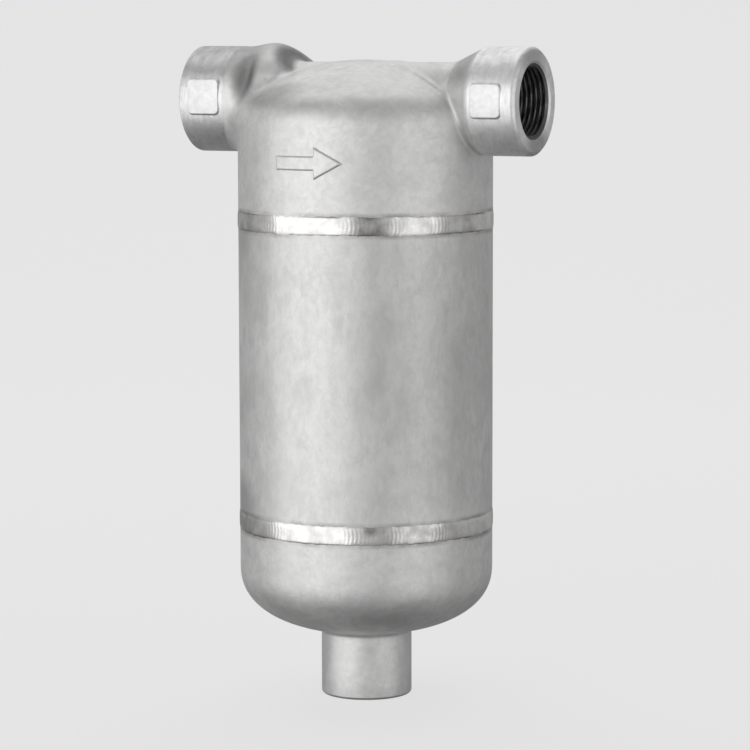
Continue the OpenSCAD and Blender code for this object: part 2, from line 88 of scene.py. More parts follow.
# Head
outlet_pos, outlet_dims = mount_mm("outlet")
PIPE_Z = outlet_pos[2]
END_X = head_high[0]
SOCKET_R = head_high[2] - PIPE_Z
BORE_R = outlet_dims["r_mm"]
THREAD_LEN = outlet_dims["length_mm"]
# the dome: where it starts, its rise, the radius of its crown and the crown's thickness
DOME_Z = 257.5
DOME_RISE = 29.5
CROWN_R = 90.0
CROWN = 5.0
# the outlet duct: its radius, where its cone starts and ends, its fillet on the dome
DUCT_R = 17.0
DUCT_X = 45.5
CONE_X = 60.0
DUCT_START_X = -36.0
DUCT_FILLET_X = (42.0, 52.0)
DUCT_FILLET = (1.2, 2.5)
# the casting line in the crease between duct and dome: height, width from the sockets'
# centre line up, and where it fades out along X and up
SEAM_H = 0.8
SEAM_W = (1.7, 1.1)
SEAM_W_Z = (PIPE_Z, PIPE_Z + 12)
SEAM_FADE_X = (8.0, 20.0)
SEAM_FADE_Z = (PIPE_Z - 2, PIPE_Z + 9)
# the inlet chest: its end is cut by a slanting plane (where that meets the top, its lean,
# the rounding), it widens towards the dome, and has a fillet on it
NOSE_X = 41.0
NOSE_LEAN = 39.0
NOSE_ROUND = 4.0
SHOULDER = 1.7
SHOULDER_X = (-58.0, -44.0)
CHEST_FILLET_X = (-48.0, -36.0)
CHEST_FILLET = (9.0, 3.0)
# the hollow between chest and inlet socket: centre, depth, reach along X and up, and how
# far from the middle it starts and is full
NECK_X = 50.0
NECK_LIFT = 10.5
NECK_DEPTH = 3.8
NECK_REACH = (4.5, 10.5)
NECK_SIDES = (7.0, 18.0)
# the ways for the steam inside the head
PASSAGE_R = 13.5
CHEST_IN_X = (24.0, 34.0, 40.0, 46.0, 54.0, 60.0)
CHEST_IN_R = (10.0, 12.0, 15.5, 16.5, 15.5, PASSAGE_R)
OUTLET_IN_X = -8.0
BOSS_R = 21.0
BOSS_LOW_Z = 226.0
BOSS_BORE_R = 13.0
TUBE_SEAT_Z = tube_high[2]
TUBE_R = tube_high[0]
TUBE_GAP = 0.05
# sockets; the rim's chamfer is the inlet's (-1) and the outlet's (1)
SOCKET_BACK_X = 60.0
FACE_CHAMFER = 1.5
RIM_CHAMFER = {-1: 0.7, 1: 1.5}
MOUTH_CHAMFER = 2.3
# a machined edge is broken by this much, from this far away
EDGE = 0.12
EDGE_REACH = 0.35
PIPE_PITCH = 25.4 / 11
PIPE_THREAD = 1.479
# wrench pads of the inlet (-1) and outlet (1): place along X, height over the
# sockets' centre line, width and height
PADS = {-1: (-69.8, 1.4, 15.5, 15.4), 1: (68.8, 0.7, 14.2, 14.4)}
PAD_ROUND = 2.0
PAD_PROUD = 0.4
PAD_FOOT = (0.3, 0.7)
PAD_ROOT = 5.0

# Flow arrow
ARROW_Z = 243.0
ARROW_L = 32.0
ARROW_H = 14.0
ARROW_HEAD = 13.0
ARROW_SHAFT = 6.0
ARROW_PROUD = 0.9

# Bottom cap
_, drain_dims = mount_mm("drain")
DRAIN_BORE_R = drain_dims["r_mm"]
DRAIN_THREAD_LEN = drain_dims["length_mm"]
DRAIN_R = 20.45
DRAIN_CHAMFER = 0.9
DRAIN_PITCH = 25.4 / 14
DRAIN_THREAD = 1.162
CAP_Z = 59.4
CAP_RISE = 30.3
CAP_SQUARE = 2.35
CAP_TOP_Z = cap_high[2]
FLOOR_Z = 37.0
FLOOR_RISE = 28.0
SEAT_HOLE_R = 8.0
SEAT_HOLE_Z = 24.0
DRAIN_PASSAGE_R = 6.0
JUNCTION_FILLET = 2.6


# ---------------------------------------------------------------- mesh helpers
def new_piece(name, verts, faces, materials, sharp_deg=35, normals=None):
    """A mesh object from points in millimetres, smooth except along edges sharper than sharp_deg."""
    mesh = bpy.data.meshes.new(name)
    mesh.from_pydata((np.asarray(verts, float) * MM).tolist(), [], faces)
    mesh.validate()
    mesh.shade_smooth()
    if normals is not None:
        mesh.normals_split_custom_set_from_vertices(normals.tolist())
    else:
        mesh.set_sharp_from_angle(angle=math.radians(sharp_deg))
    piece = bpy.data.objects.new(name, mesh)
    bpy.context.scene.collection.objects.link(piece)
    for material in materials:
        mesh.materials.append(material)
    return piece


def join(pieces, name):
    """One object out of several; the first one's materials come first."""
    bpy.ops.object.select_all(action="DESELECT")
    for piece in pieces:
        piece.select_set(True)
    bpy.context.view_layer.objects.active = pieces[0]
    bpy.ops.object.join()
    pieces[0].name = name
    pieces[0].data.name = name
    return pieces[0]


def ring_faces(rings, sides, closed):
    """Quads between rings of the same number of points, and round the back when closed."""
    faces = []
    for i in range(rings if closed else rings - 1):
        a, b = i * sides, ((i + 1) % rings) * sides
        for j in range(sides):
            k = (j + 1) % sides
            faces.append((a + j, a + k, b + k, b + j))
    return faces


def turned(rings, sides, axis):
    """Points and faces of closed rings of (radius or radii, along), round the "x" or "z" axis."""
    angle = np.linspace(0, 2 * math.pi, sides, endpoint=False)
    verts = []
    for radius, along in rings:
        r = radius + 0 * angle
        if axis == "z":
            ring = np.stack([r * np.cos(angle), r * np.sin(angle), along + 0 * angle], 1)
        else:
            ring = np.stack([along + 0 * angle, r * np.cos(angle), PIPE_Z + r * np.sin(angle)], 1)
        verts.append(ring)
    return np.concatenate(verts), ring_faces(len(rings), sides, closed=True)


def outward(verts, faces):
    """The faces, turned so that they face out of the closed mesh."""
    volume = 0.0
    for f in faces:
        for i in range(1, len(f) - 1):
            volume += np.dot(verts[f[0]], np.cross(verts[f[i]], verts[f[i + 1]]))
    return faces if volume > 0 else [f[::-1] for f in faces]


def smooth_step(value, low, high):
    t = np.clip((value - low) / (high - low), 0, 1)
    return t * t * (3 - 2 * t)


def smooth_min(a, b, k):
    """Union of two distance fields with a fillet of about k."""
    h = np.clip(0.5 + 0.5 * (b - a) / k, 0, 1)
    return b * (1 - h) + a * h - k * h * (1 - h)


def smooth_max(a, b, k):
    return -smooth_min(-a, -b, k)


# ---------------------------------------------------------------- distance fields to meshes
def field_normals(field, points, step=0.05):
    """Slope of a distance field at each point, taken over a short step each way."""
    x, y, z = points.T
    grad = np.stack([
        field(x + step, y, z) - field(x - step, y, z),
        field(x, y + step, z) - field(x, y - step, z),
        field(x, y, z + step) - field(x, y, z - step)], 1) / (2 * step)
    return grad


def surface_net(field, low, high, cell):
    """Closed quad mesh of field(x, y, z) = 0: one vertex a cell, drawn onto the surface."""
    axes = [np.arange(a, b + cell, cell) for a, b in zip(low, high)]
    value = field(*np.meshgrid(*axes, indexing="ij"))
    inside = value < 0
    shape = np.array(value.shape) - 1
    total = np.zeros(shape, int)
    place = np.zeros((*shape, 3))
    crossings = np.zeros(shape)
    corner = [(i, j, k) for i in (0, 1) for j in (0, 1) for k in (0, 1)]

    def at(array, c):
        return array[c[0]:c[0] + shape[0], c[1]:c[1] + shape[1], c[2]:c[2] + shape[2]]

    for c in corner:
        total += at(inside, c)
    for a in corner:
        for axis in range(3):
            if a[axis]:
                continue
            b = tuple(v + (i == axis) for i, v in enumerate(a))
            va, vb = at(value, a), at(value, b)
            cross = (va < 0) != (vb < 0)
            t = np.where(cross, va / np.where(cross, va - vb, 1), 0)
            for i in range(3):
                place[..., i] += cross * (a[i] + (t if i == axis else 0))
            crossings += cross
    mask = (total > 0) & (total < 8)
    index = np.full(shape, -1)
    index[mask] = np.arange(mask.sum())
    origin = np.array([a[0] for a in axes])
    cells = np.argwhere(mask)
    points = origin + cell * (cells + place[mask] / crossings[mask][:, None])
    # three steps down the slope onto the surface, none further than most of a cell
    start = points.copy()
    reach = 0.6 * cell
    for _ in range(3):
        grad = field_normals(field, points)
        size = (grad ** 2).sum(1)
        points = points - (field(*points.T) / np.maximum(size, 0.05))[:, None] * grad
        points = start + np.clip(points - start, -reach, reach)

    faces = []
    for axis in range(3):
        u, v = (axis + 1) % 3, (axis + 2) % 3
        lower = [slice(None)] * 3
        upper = [slice(None)] * 3
        lower[axis], upper[axis] = slice(0, -1), slice(1, None)
        first, second = inside[tuple(lower)], inside[tuple(upper)]
        for edge in np.argwhere(first != second):
            if edge[u] == 0 or edge[v] == 0 or edge[u] >= shape[u] or edge[v] >= shape[v]:
                continue
            quad = []
            for du, dv in ((-1, -1), (0, -1), (0, 0), (-1, 0)):
                c = edge.copy()
                c[u] += du
                c[v] += dv
                quad.append(int(index[tuple(c)]))
            faces.append(tuple(quad) if first[tuple(edge)] else tuple(quad[::-1]))
    return points, faces


# ---------------------------------------------------------------- head casting
def dome_field(r, z, radius, rise):
    """Distance to a cylinder that ends in half an ellipsoid above DOME_Z."""
    up = np.maximum(z - DOME_Z, 0)
    k = np.sqrt((r / radius) ** 2 + (up / rise) ** 2)
    slope = np.sqrt((r / radius ** 2) ** 2 + (up / rise ** 2) ** 2)
    return (k - 1) * k / np.maximum(slope, 1e-4)


def dished_field(r, z, radius, rise, crown_r):
    """Distance to a cylinder closed above DOME_Z by a round crown and a tighter knuckle."""
    # the knuckle's radius follows from the rise and the crown's radius
    knuckle_r = ((crown_r ** 2 - (crown_r - rise) ** 2) - radius ** 2) / (2 * (crown_r - radius))
    up = z - DOME_Z
    side_r = radius - knuckle_r
    below = rise - crown_r
    lean = np.arctan2(r, up - below)
    crown = np.hypot(r, up - below) - crown_r
    knuckle = np.where(up > 0, np.hypot(r - side_r, up) - knuckle_r, r - radius)
    return np.where(lean < math.asin(side_r / (crown_r - knuckle_r)), crown, knuckle)


def outlet_radius(x):
    """The outlet duct's radius: a bar, then a cone up to the socket, with soft corners."""
    knots = [0, DUCT_X - 2, DUCT_X, DUCT_X + 2, CONE_X - 1.5, CONE_X, CONE_X + 4]
    cone = (SOCKET_R - DUCT_R) / (CONE_X - DUCT_X)
    top = SOCKET_R - 0.15
    radii = [DUCT_R, DUCT_R, DUCT_R + 0.5, DUCT_R + 2 * cone,
             top - 1.5 * cone, top - 0.25, top]
    return np.interp(x, knots, radii)


def duct_field(x, y, z):
    """Outlet duct: a round bar along X from inside the dome to inside the socket."""
    side = np.hypot(y, z - PIPE_Z) - outlet_radius(x)
    return smooth_max(side, np.maximum(x - SOCKET_BACK_X - 4, DUCT_START_X - x), 0.5)


def chest_field(x, y, z):
    """Inlet chest: a bar behind the socket, cut off by a slanting plane."""
    radius = SOCKET_R - 0.15 + SHOULDER * smooth_step(x, *SHOULDER_X)
    side = np.hypot(y, z - PIPE_Z) - radius
    lean = math.radians(NOSE_LEAN)
    cut = (x + NOSE_X) * math.cos(lean) + (z - PIPE_Z - SOCKET_R - SHOULDER) * math.sin(lean)
    blunt = smooth_max(side, cut, NOSE_ROUND)
    return np.maximum(blunt, -SOCKET_BACK_X - 4 - x)


def neck_hollow(x, y, z):
    """Depth of the hollow on the front and back of the chest, next to the inlet socket."""
    spread = ((x + NECK_X) / NECK_REACH[0]) ** 2 + ((z - PIPE_Z - NECK_LIFT) / NECK_REACH[1]) ** 2
    return NECK_DEPTH * np.exp(-spread) * smooth_step(np.abs(y), *NECK_SIDES)


def head_outside(x, y, z):
    body = dished_field(np.hypot(x, y), z, BODY_R, DOME_RISE, CROWN_R)
    duct = duct_field(x, y, z)
    across = (body - duct) / np.interp(z, SEAM_W_Z, SEAM_W)
    seam = SEAM_H * np.exp(-across ** 2) * smooth_step(x, *SEAM_FADE_X)
    seam = seam * smooth_step(z, *SEAM_FADE_Z)
    whole = smooth_min(body, duct, np.interp(x, DUCT_FILLET_X, DUCT_FILLET)) - seam
    chest_fillet = np.interp(x, CHEST_FILLET_X, CHEST_FILLET)
    whole = smooth_min(whole, chest_field(x, y, z), chest_fillet)
    return whole + neck_hollow(x, y, z)


def head_inside(x, y, z):
    """The head's hollow: the vessel, less the boss and duct, plus the ways for the steam."""
    r = np.hypot(x, y)
    bottom = np.maximum(z - UPPER_WELD_Z - 2, 0)
    wall_r = SHELL_IN_R + (CAST_IN_R - SHELL_IN_R) * np.clip(bottom / 6, 0, 1)
    cavity = dome_field(r * CAST_IN_R / wall_r, z, CAST_IN_R, DOME_RISE - CROWN)
    duct = np.maximum(np.hypot(y, z - PIPE_Z) - DUCT_R, -x)
    boss = np.minimum(np.maximum(r - BOSS_R, BOSS_LOW_Z - z), duct)
    cavity = smooth_max(cavity, -boss, 3.0)
    chest_r = np.interp(-x, CHEST_IN_X, CHEST_IN_R)
    chest = np.maximum(np.hypot(y, z - PIPE_Z) - chest_r, x + CHEST_IN_X[0])
    outlet = np.maximum(np.hypot(y, z - PIPE_Z) - PASSAGE_R, OUTLET_IN_X - x)
    drop = np.maximum(r - BOSS_BORE_R, z - PIPE_Z)
    seat = np.maximum(r - TUBE_R - TUBE_GAP, z - TUBE_SEAT_Z)
    return np.minimum.reduce([smooth_min(cavity, chest, 2.0), outlet, drop, seat])


def head_field(x, y, z):
    """Distance to the metal of the head, with the bevel that its weld fills."""
    bevel = np.hypot(x, y) - (BODY_R - WELD_BEVEL) - (z - HEAD_LOW_Z) * 1.1
    outside = np.maximum.reduce([head_outside(x, y, z), HEAD_LOW_Z - z, bevel])
    return np.maximum(outside, -head_inside(x, y, z))


def head_body(material):
    reach = SOCKET_BACK_X + 6
    low = (-reach, -BODY_R - 2, HEAD_LOW_Z - 2)
    high = (reach, BODY_R + 2, PIPE_Z + SOCKET_R + 2)
    cell = 0.8
    points, faces = surface_net(head_field, low, high, cell)
    normals = field_normals(head_field, points, 0.15)
    normals /= np.maximum(np.linalg.norm(normals, axis=1, keepdims=True), 1e-6)
    return new_piece("head_body", points, faces, [material], normals=normals)


def thread_rings(radius, depth, pitch, start, end, sides):
    """Rings of (radii, along) of a right-handed internal thread that fades out at its end."""
    rings_per_turn = 10
    fade_turns = 1.5
    angle = np.linspace(0, 2 * math.pi, sides, endpoint=False)
    rings = []
    for along in np.linspace(start, end, int(abs(end - start) / pitch * rings_per_turn)):
        phase = (along / pitch - angle / (2 * math.pi)) % 1.0
        groove = 1 - np.abs(2 * phase - 1)
        # steeper than a plain triangle and cut off, which leaves a flat crest and root
        groove = np.clip(1.25 * groove - 0.12, 0, 1)
        fade = np.clip(abs(end - along) / pitch / fade_turns, 0, 1)
        rings.append((radius + depth * groove * fade, along))
    return rings


def socket(side, machined, threaded):
    """A turned pipe socket: side 1 is the outlet, -1 the inlet.

    Each corner has a point on either side of it, so that it is broken, not sharp."""
    sides = 160
    back = SOCKET_BACK_X
    mouth_r = BORE_R + MOUTH_CHAMFER
    rim = RIM_CHAMFER[side]
    face_r = SOCKET_R - FACE_CHAMFER - 0.9
    outside = [(SOCKET_R - 0.5, back), (SOCKET_R - EDGE, back + EDGE), (SOCKET_R, back + 0.5),
               (SOCKET_R, back + 6), (SOCKET_R, END_X - rim - EDGE_REACH),
               (SOCKET_R - EDGE, END_X - rim + 0.1), (SOCKET_R - rim + 0.1, END_X - 0.2),
               (SOCKET_R - rim - EDGE_REACH, END_X)]
    face = [(r, END_X) for r in np.linspace(face_r, mouth_r + 0.4, 6)]
    mouth = [(mouth_r, END_X - 0.15), (BORE_R + 1.6, END_X - 0.8)]
    inner_end = END_X - FACE_CHAMFER - THREAD_LEN
    back_wall = [(BORE_R, inner_end), (PASSAGE_R + 0.3, inner_end - 0.6),
                 (PASSAGE_R, inner_end - 1.2), (PASSAGE_R, back)]
    smooth = outside + face + mouth
    threads = thread_rings(BORE_R, PIPE_THREAD, PIPE_PITCH, (END_X - FACE_CHAMFER) * side,
                           (inner_end + 0.5) * side, sides)
    rings = [(r, a * side) for r, a in smooth] + threads + [(r, a * side) for r, a in back_wall]
    verts, faces = turned(rings, sides, "x")
    faces = outward(verts, faces)
    piece = new_piece("socket", verts, faces, [machined, threaded], sharp_deg=32)
    first = len(smooth) * sides
    last = (len(smooth) + len(threads) + 2) * sides
    for polygon in piece.data.polygons:
        low = min(polygon.vertices)
        if first - sides <= low < last and max(polygon.vertices) < last:
            polygon.material_index = 1
    return piece


def rounded_oblong(width, height, radius, steps=6):
    """Outline of an oblong with round corners, round the origin."""
    across, up = width / 2 - radius, height / 2 - radius
    points = []
    for quarter, (sx, sz) in enumerate([(1, 1), (-1, 1), (-1, -1), (1, -1)]):
        for step in range(steps + 1):
            a = math.radians(90 * quarter + 90 * step / steps)
            points.append((sx * across + radius * math.cos(a), sz * up + radius * math.sin(a)))
    return points


def pad(end, side, ground, flank):
    """A raised wrench pad on the inlet (-1) or outlet (1); side -1 is the front, 1 the back."""
    x, lift, width, height = PADS[end]
    top = SOCKET_R + PAD_PROUD
    foot = rounded_oblong(width + 2 * PAD_FOOT[0], height + 2 * PAD_FOOT[1], PAD_ROUND + 0.4)
    count = len(foot)
    verts = [(x + u, side * (top - PAD_ROOT), PIPE_Z + lift + v) for u, v in foot]
    verts += [(x + u, side * (math.sqrt(SOCKET_R ** 2 - (lift + v) ** 2) + 0.06),
               PIPE_Z + lift + v) for u, v in foot]
    for inset, depth in [(0, top - 0.3), (0.1, top - 0.1), (0.35, top)]:
        outline = rounded_oblong(width - 2 * inset, height - 2 * inset, PAD_ROUND - inset)
        verts += [(x + u, side * depth, PIPE_Z + lift + v) for u, v in outline]
    faces = ring_faces(len(verts) // count, count, closed=False)
    faces.append(tuple(range(count))[::-1])
    faces.append(tuple(range(len(verts) - count, len(verts))))
    verts = np.array(verts)
    piece = new_piece("pad", verts, outward(verts, faces), [ground, flank], sharp_deg=30)
    for polygon in piece.data.polygons:
        if max(polygon.vertices) < 3 * count and min(polygon.vertices) >= count:
            polygon.material_index = 1
    return piece


def polygon_distance(u, v, corners):
    """Signed distance to a polygon, negative inside."""
    best = np.full(u.shape, 1e9)
    sign = np.ones(u.shape)
    for (ax, ay), (bx, by) in zip(corners, corners[1:] + corners[:1]):
        ex, ey = bx - ax, by - ay
        wx, wy = u - ax, v - ay
        t = np.clip((wx * ex + wy * ey) / (ex * ex + ey * ey), 0, 1)
        best = np.minimum(best, (wx - ex * t) ** 2 + (wy - ey * t) ** 2)
        above, below = v >= ay, v < by
        left = ex * wy > ey * wx
        flip = (above & below & left) | (~above & ~below & ~left)
        sign = np.where(flip, -sign, sign)
    return sign * np.sqrt(best)


def cast_mark(side, corners, z_mid, half_w, half_h, material):
    """A soft-edged raised mark on the front (side -1) or back of the head."""
    cell = 0.4
    root = 2.0
    us = np.arange(-half_w, half_w + cell, cell)
    vs = np.arange(-half_h, half_h + cell, cell)
    u, v = np.meshgrid(us, vs, indexing="ij")
    distance = polygon_distance(u, v, corners)
    # outside the outline the mark lies below the head's surface
    sunk = 0.6
    height = -sunk + (sunk + ARROW_PROUD) * smooth_step(-distance, -0.7, 0.5)
    angle = u / BODY_R

    def layer(lift):
        r = BODY_R + lift
        return np.stack([r * np.sin(angle), side * r * np.cos(angle), z_mid + v], -1).reshape(-1, 3)

    rows, cols = u.shape
    top, bottom = layer(height), layer(-root + 0 * u)
    count = rows * cols
    faces = []
    for i in range(rows - 1):
        for j in range(cols - 1):
            a, b, c, d = i * cols + j, (i + 1) * cols + j, (i + 1) * cols + j + 1, i * cols + j + 1
            faces.append((a, b, c, d))
            faces.append((d + count, c + count, b + count, a + count))
    rim = [(i, 0) for i in range(rows)] + [(rows - 1, j) for j in range(1, cols)]
    rim += [(i, cols - 1) for i in range(rows - 2, -1, -1)] + [(0, j) for j in range(cols - 2, 0, -1)]
    loop = [i * cols + j for i, j in rim]
    for a, b in zip(loop, loop[1:] + loop[:1]):
        faces.append((b, a, a + count, b + count))
    verts = np.concatenate([top, bottom])
    return new_piece("mark", verts, outward(verts, faces), [material], sharp_deg=60)


def arrow_corners():
    """Outline of the flow arrow, which points to the outlet."""
    tail, tip = -ARROW_L / 2, ARROW_L / 2
    neck = tip - ARROW_HEAD
    return [(tail, -ARROW_SHAFT / 2), (neck, -ARROW_SHAFT / 2), (neck, -ARROW_H / 2), (tip, 0),
            (neck, ARROW_H / 2), (neck, ARROW_SHAFT / 2), (tail, ARROW_SHAFT / 2)]


# ---------------------------------------------------------------- bottom cap
def bottom_cap(cast, machined, threaded):
    """The cap with its drain socket, turned in one outline: outside down, face, inside up."""
    sides = 200
    outer_top = [(BODY_R - WELD_BEVEL - 0.2, CAP_TOP_Z), (BODY_R, CAP_TOP_Z - WELD_BEVEL),
                 (BODY_R, CAP_Z + 8)]
    # a quarter of a superellipse, up to where the fillet of the drain socket starts
    end = math.acos(((DRAIN_R + JUNCTION_FILLET * 0.8) / BODY_R) ** (CAP_SQUARE / 2))
    bowl = [(BODY_R * math.cos(a) ** (2 / CAP_SQUARE),
             CAP_Z - CAP_RISE * math.sin(a) ** (2 / CAP_SQUARE))
            for a in np.linspace(0, end, 48)]
    junction_z = bowl[-1][1]
    fillet = [(DRAIN_R + JUNCTION_FILLET * 0.8 * (1 - t) ** 1.6, junction_z - 2.4 * t ** 1.4)
              for t in np.linspace(0.15, 1, 7)]
    stub = [(DRAIN_R, junction_z - 4), (DRAIN_R, 12), (DRAIN_R, DRAIN_CHAMFER + 0.3),
            (DRAIN_R - EDGE, DRAIN_CHAMFER - EDGE), (DRAIN_R - DRAIN_CHAMFER + EDGE, EDGE),
            (DRAIN_R - DRAIN_CHAMFER - 0.3, 0)]
    face = [(r, 0.0) for r in np.linspace(DRAIN_R - 2.4, DRAIN_BORE_R + FACE_CHAMFER + 0.3, 4)]
    mouth = [(DRAIN_BORE_R + FACE_CHAMFER, 0.1)]
    smooth = outer_top + bowl + fillet + stub
    ends = face + mouth
    # the thread and, above it, the passage to the valve seat and the dished floor
    thread_top = FACE_CHAMFER + DRAIN_THREAD_LEN
    threads = thread_rings(DRAIN_BORE_R, DRAIN_THREAD, DRAIN_PITCH, FACE_CHAMFER, thread_top,
                           sides)
    floor_angle = math.degrees(math.asin((CAP_Z - FLOOR_Z) / FLOOR_RISE))
    inner_bowl = [(CAST_IN_R * math.cos(math.radians(a)),
                   CAP_Z - FLOOR_RISE * math.sin(math.radians(a)))
                  for a in np.linspace(floor_angle, 0, 24)]
    inside = [(DRAIN_BORE_R - 0.6, thread_top + 0.5), (DRAIN_PASSAGE_R, SEAT_HOLE_Z - 2),
              (DRAIN_PASSAGE_R, SEAT_HOLE_Z), (SEAT_HOLE_R, SEAT_HOLE_Z),
              (SEAT_HOLE_R, FLOOR_Z)] + inner_bowl
    inside += [(CAST_IN_R, CAP_TOP_Z - 8), (SHELL_IN_R, CAP_TOP_Z - 2), (SHELL_IN_R, CAP_TOP_Z)]
    rings = smooth + ends + threads + inside
    verts, faces = turned(rings, sides, "z")
    faces = outward(verts, faces)
    piece = new_piece("bottom_cap_casting", verts, faces, [cast, machined, threaded])
    edge_start = (len(smooth) - 4) * sides
    thread_start = (len(smooth) + len(ends) - 1) * sides
    thread_end = (len(smooth) + len(ends) + len(threads) + 1) * sides
    for polygon in piece.data.polygons:
        low, high = min(polygon.vertices), max(polygon.vertices)
        if thread_start <= low and high < thread_end:
            polygon.material_index = 2
        elif edge_start <= low and high < thread_start + sides:
            polygon.material_index = 1
    return piece


# ---------------------------------------------------------------- welds
def weld_bead(name, z_mid, seed, material):
    """A ring of weld metal: rippled crown outside, plain root inside."""
    sides = 720
    rng = np.random.default_rng(seed)
    angle = np.linspace(0, 2 * math.pi, sides, endpoint=False)

    def slow_noise(waves):
        """Uneven line round the weld, made of the given numbers of waves a turn."""
        total = 0 * angle
        for wave in waves:
            total += rng.uniform(-1, 1) * np.sin(wave * angle + rng.uniform(0, 2 * math.pi))
        return total / math.sqrt(len(waves))

    # how far the bead wanders up and down, how uneven its toes and its height are
    drift = 0.22 * slow_noise(range(3, 14)) + 0.10 * slow_noise(range(40, 70, 3))
    top_edge = 0.20 * slow_noise(range(20, 90, 4))
    low_edge = 0.20 * slow_noise(range(20, 90, 4))
    height = 1 + 0.10 * slow_noise(range(5, 30, 2))
    ripples = 200
    bend = 1.5 * slow_noise(range(7, 20, 3))
    verts = []
    for t in np.linspace(-1, 1, 17):
        edge = np.where(t > 0, top_edge, low_edge)
        half = WELD_W / 2 + edge - 0.3
        z = z_mid + drift * (1 - 0.5 * abs(t)) + t * half
        crown = BEAD_PROUD * height * (1 - abs(t) ** 5) - 0.05
        wave = 0.03 * np.cos(ripples * angle + 3.2 * t * t + bend)
        r = BODY_R + crown + wave * (1 - t ** 4)
        verts.append(np.stack([r * np.cos(angle), r * np.sin(angle), z], 1))
    # the root: a groove's filling that narrows to a thin line inside the vessel
    groove, gap = 3.2, 0.4
    for r, z in ((BODY_R - 0.3, z_mid + groove), (SHELL_IN_R + 0.5, z_mid + gap),
                 (SHELL_IN_R, z_mid + gap), (SHELL_IN_R, z_mid - gap),
                 (SHELL_IN_R + 0.5, z_mid - gap), (BODY_R - 0.3, z_mid - groove)):
        verts.append(np.stack([r * np.cos(angle), r * np.sin(angle), z + 0 * angle], 1))
    rings = len(verts)
    verts = np.concatenate(verts)
    faces = outward(verts, ring_faces(rings, sides, closed=True))
    return new_piece(name, verts, faces, [material], sharp_deg=50)


# ---------------------------------------------------------------- materials
class Nodes:
    """A metal material's node tree, with short calls for the nodes it uses."""

    def __init__(self, name):
        self.material = bpy.data.materials.new(name)
        self.material.use_nodes = True
        self.tree = self.material.node_tree
        self.shader = self.tree.nodes["Principled BSDF"]
        self.coords = self.add("ShaderNodeTexCoord")
        self.place = self.coords.outputs["Object"]

    def add(self, kind, **values):
        node = self.tree.nodes.new(kind)
        for key, value in values.items():
            setattr(node, key, value)
        return node

    def link(self, output, target):
        self.tree.links.new(output, target)

    def mapped(self, scale):
        """Object coordinates, stretched along the axes that have a small scale."""
        node = self.add("ShaderNodeMapping")
        node.inputs["Scale"].default_value = scale
        self.link(self.place, node.inputs["Vector"])
        return node.outputs["Vector"]

    def noise(self, scale, detail=4.0, roughness=0.55, stretch=None, distortion=0.0):
        node = self.add("ShaderNodeTexNoise")
        node.inputs["Scale"].default_value = scale
        node.inputs["Detail"].default_value = detail
        node.inputs["Roughness"].default_value = roughness
        node.inputs["Distortion"].default_value = distortion
        self.link(self.mapped(stretch) if stretch else self.place, node.inputs["Vector"])
        return node.outputs["Fac"]

    def ramp(self, factor, low, high, start=0.0, end=1.0):
        """Maps a factor to a range of numbers."""
        node = self.add("ShaderNodeMapRange")
        node.inputs["From Min"].default_value = low
        node.inputs["From Max"].default_value = high
        node.inputs["To Min"].default_value = start
        node.inputs["To Max"].default_value = end
        self.link(factor, node.inputs["Value"])
        return node.outputs["Result"]

    def blend(self, factor, first, second):
        """Mix of two colours, each a tuple or another node's output."""
        node = self.add("ShaderNodeMix", data_type="RGBA")
        self.link(factor, node.inputs["Factor"])
        for value, socket in ((first, node.inputs[6]), (second, node.inputs[7])):
            if isinstance(value, tuple):
                socket.default_value = (*value, 1.0)
            else:
                self.link(value, socket)
        return node.outputs[2]

    def maths(self, operation, first, second):
        node = self.add("ShaderNodeMath", operation=operation)
        for value, socket in ((first, node.inputs[0]), (second, node.inputs[1])):
            if isinstance(value, (int, float)):
                socket.default_value = value
            else:
                self.link(value, socket)
        return node.outputs[0]

    def pocket(self, centre, reach, strength, facing=None):
        """Factor of a darker patch round a point, or only on faces there that look one way; most such
        patches are painted shade.
        """
        offset = self.add("ShaderNodeVectorMath", operation="SUBTRACT")
        self.link(self.place, offset.inputs[0])
        offset.inputs[1].default_value = [c * MM for c in centre]
        scaled = self.add("ShaderNodeVectorMath", operation="DIVIDE")
        self.link(offset.outputs[0], scaled.inputs[0])
        scaled.inputs[1].default_value = [c * MM for c in reach]
        length = self.add("ShaderNodeVectorMath", operation="LENGTH")
        self.link(scaled.outputs[0], length.inputs[0])
        near = self.ramp(length.outputs["Value"], 1.0, 0.40, 0.0, strength)
        if facing is None:
            return near
        look = self.add("ShaderNodeVectorMath", operation="DOT_PRODUCT")
        self.link(self.coords.outputs["Normal"], look.inputs[0])
        look.inputs[1].default_value = facing
        return self.maths("MULTIPLY", near, self.ramp(look.outputs["Value"], 0.1, 0.55))

    def height(self):
        """Height over the floor, in metres."""
        node = self.add("ShaderNodeSeparateXYZ")
        self.link(self.place, node.inputs[0])
        return node.outputs["Z"]

    def bump(self, height, distance, strength, below=None):
        node = self.add("ShaderNodeBump")
        node.inputs["Distance"].default_value = distance
        node.inputs["Strength"].default_value = strength
        self.link(height, node.inputs["Height"])
        if below is not None:
            self.link(below, node.inputs["Normal"])
        return node.outputs["Normal"]

    def finish(self, colour, roughness, normal):
        """Ties the node outputs to a bare metal shader."""
        self.shader.inputs["Metallic"].default_value = 1.0
        self.link(colour, self.shader.inputs["Base Color"])
        self.link(roughness, self.shader.inputs["Roughness"])
        self.link(normal, self.shader.inputs["Normal"])
        return self.material


def grey(value, warmth=0.0):
    """A grey with a little more red and less blue in it, the warmer it is."""
    return (value * (1 + warmth), value, value * (1 - warmth))


